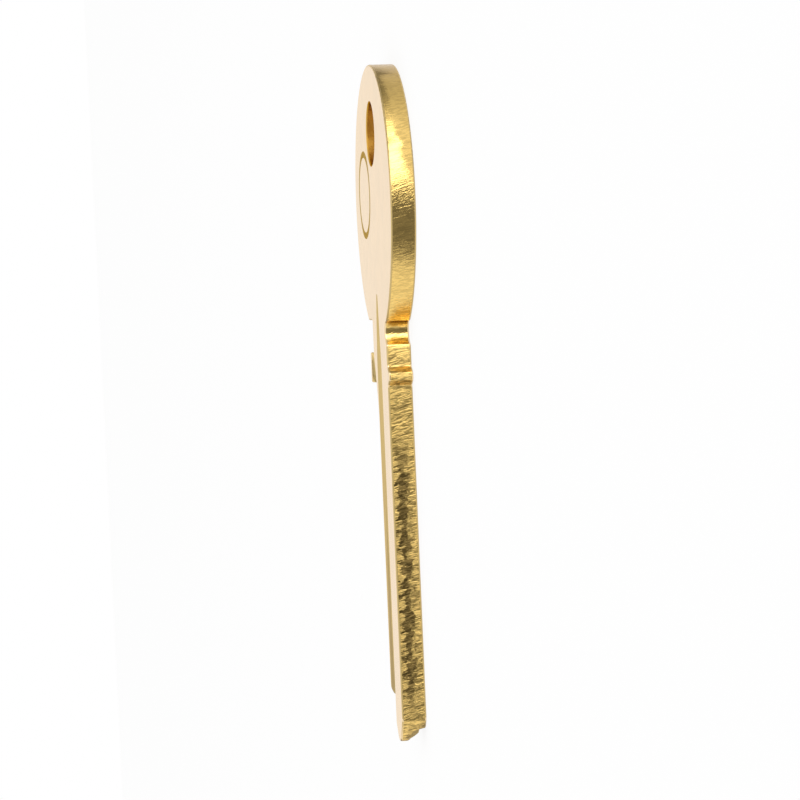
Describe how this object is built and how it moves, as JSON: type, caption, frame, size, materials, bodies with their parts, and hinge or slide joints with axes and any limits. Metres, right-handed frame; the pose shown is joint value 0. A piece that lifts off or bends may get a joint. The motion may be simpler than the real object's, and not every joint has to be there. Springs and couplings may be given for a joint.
{
  "type": "key blank",
  "caption": "Uncut brass pin-tumbler key: round bow with a ring hole, stop shoulder, and a blade milled to a keyway section.",
  "frame": {"origin": "in the shoulder plane, at the middle of the blade's height, on the back face", "axes": "+Y along the key towards the bow, +X across it towards the spine, +Z through its thickness towards the front face"},
  "size_m": [0.0242, 0.0598, 0.0022],
  "materials": {
    "brass": "satin rolled faces, sheared rims, milled grooves"
  },
  "bodies": {
    "root": {"key_blank": "brass"}
  },
  "joints": []
}
